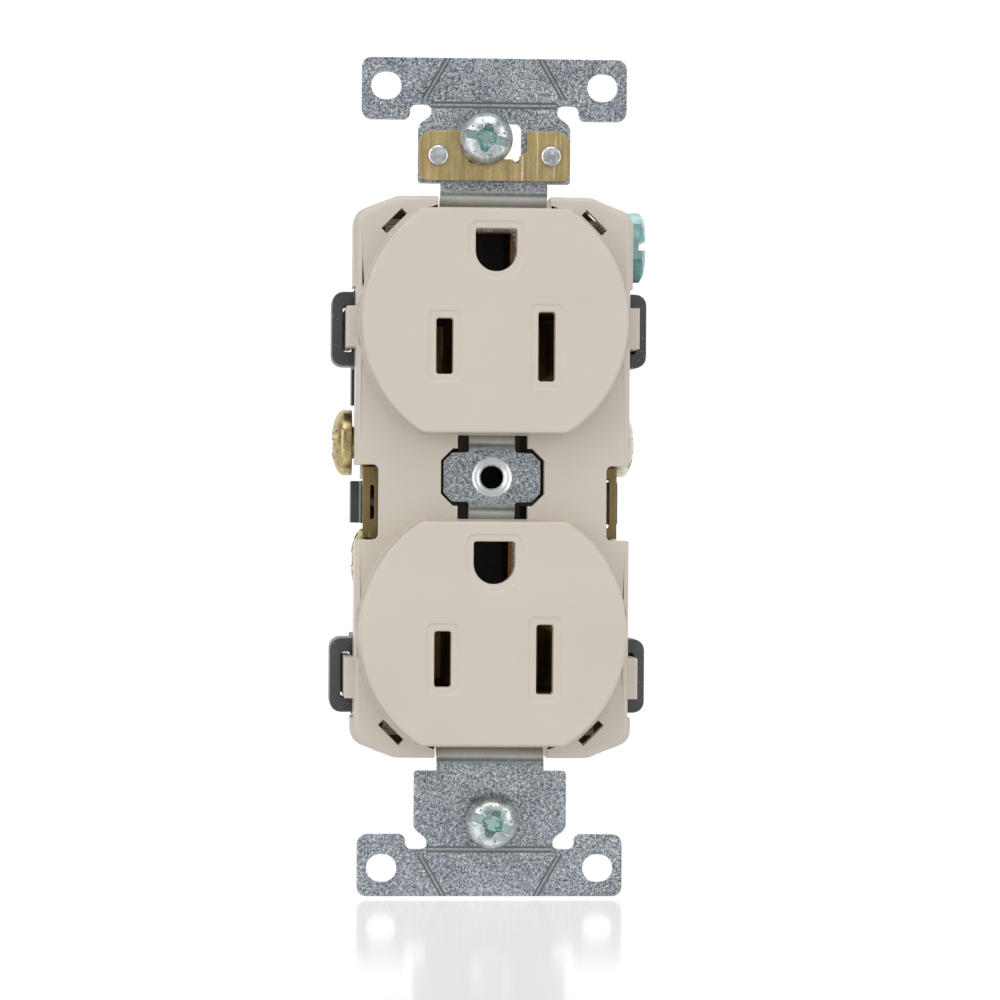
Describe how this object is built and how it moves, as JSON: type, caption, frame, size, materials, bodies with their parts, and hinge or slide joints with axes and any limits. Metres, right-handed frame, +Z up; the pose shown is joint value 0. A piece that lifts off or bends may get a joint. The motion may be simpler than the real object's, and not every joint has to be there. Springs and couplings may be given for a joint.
{
  "type": "duplex wall outlet",
  "caption": "Duplex wall outlet: moulded two-face front cover latched over a back body, on a slotted steel mounting strap with side terminal screws and a grounding clip.",
  "frame": {"origin": "centre of the back body's flat rear face, on the outlet's vertical centre line, level with the cover plate's screw hole", "axes": "-Y out of the outlet faces towards the user, +Z up along the strap with the ground holes above the blade slots, +X to the right of a person facing the outlet (the wide neutral slots and silver screws side)"},
  "size_m": [0.0402, 0.0276, 0.1054],
  "materials": {
    "cover_plastic": "semi-gloss moulded thermoplastic, light almond",
    "body_plastic": "matt moulded thermoplastic, dark grey",
    "zinc_steel": "zinc-plated steel sheet, fine spangle",
    "brass_sheet": "dull rolled brass sheet",
    "contact_bronze": "dark spring bronze",
    "brass_screw": "bright turned brass",
    "nickel_screw": "nickel plated, bright",
    "green_screw": "green dyed zinc plating",
    "zinc_screw": "bright zinc plating",
    "washer_fibre": "hard fibre"
  },
  "bodies": {
    "root": {"front_cover": "cover_plastic", "back_body": "body_plastic", "mounting_strap": "zinc_steel", "self_grounding_clip": "brass_sheet", "clip_rivet_left": "zinc_steel", "clip_rivet_right": "zinc_steel", "hot_terminal_bus": "brass_sheet", "neutral_terminal_bus": "brass_sheet", "ground_contact_upper": "contact_bronze", "ground_contact_lower": "contact_bronze", "ground_rivet_upper_left": "contact_bronze", "ground_rivet_upper_right": "contact_bronze", "ground_rivet_lower_left": "contact_bronze", "ground_rivet_lower_right": "contact_bronze"},
    "brass_screw_upper": {"brass_terminal_screw_upper": "brass_screw"},
    "brass_screw_lower": {"brass_terminal_screw_lower": "brass_screw"},
    "silver_screw_upper": {"silver_terminal_screw_upper": "nickel_screw"},
    "silver_screw_lower": {"silver_terminal_screw_lower": "nickel_screw"},
    "green_ground_screw": {"ground_screw": "green_screw"},
    "upper_retainer": {"screw_retainer_upper": "washer_fibre"},
    "upper_mounting_screw": {"mounting_screw_upper": "zinc_screw"},
    "lower_retainer": {"screw_retainer_lower": "washer_fibre"},
    "lower_mounting_screw": {"mounting_screw_lower": "zinc_screw"}
  },
  "joints": [
    {"name": "brass_screw_upper_travel", "type": "slide", "parent": "root", "child": "brass_screw_upper", "axis": [-1, 0, 0], "range_m": [-0.00095, 0.0018]},
    {"name": "brass_screw_lower_travel", "type": "slide", "parent": "root", "child": "brass_screw_lower", "axis": [-1, 0, 0], "range_m": [0, 0.0027]},
    {"name": "silver_screw_upper_travel", "type": "slide", "parent": "root", "child": "silver_screw_upper", "axis": [1, 0, 0], "range_m": [0, 0.0027]},
    {"name": "silver_screw_lower_travel", "type": "slide", "parent": "root", "child": "silver_screw_lower", "axis": [1, 0, 0], "range_m": [0, 0.0027]},
    {"name": "ground_screw_travel", "type": "slide", "parent": "root", "child": "green_ground_screw", "axis": [1, 0, 0], "range_m": [0, 0.0027]},
    {"name": "upper_retainer_slide", "type": "slide", "parent": "root", "child": "upper_retainer", "axis": [1, 0, 0], "range_m": [-0.0003, 0.0025]},
    {"name": "upper_mounting_screw_travel", "type": "slide", "parent": "upper_retainer", "child": "upper_mounting_screw", "axis": [0, -1, 0], "range_m": [-0.0005, 0.008]},
    {"name": "lower_retainer_slide", "type": "slide", "parent": "root", "child": "lower_retainer", "axis": [0, 0, 1], "range_m": [0, 0.0008]},
    {"name": "lower_mounting_screw_travel", "type": "slide", "parent": "lower_retainer", "child": "lower_mounting_screw", "axis": [0, -1, 0], "range_m": [-0.0005, 0.008]}
  ]
}
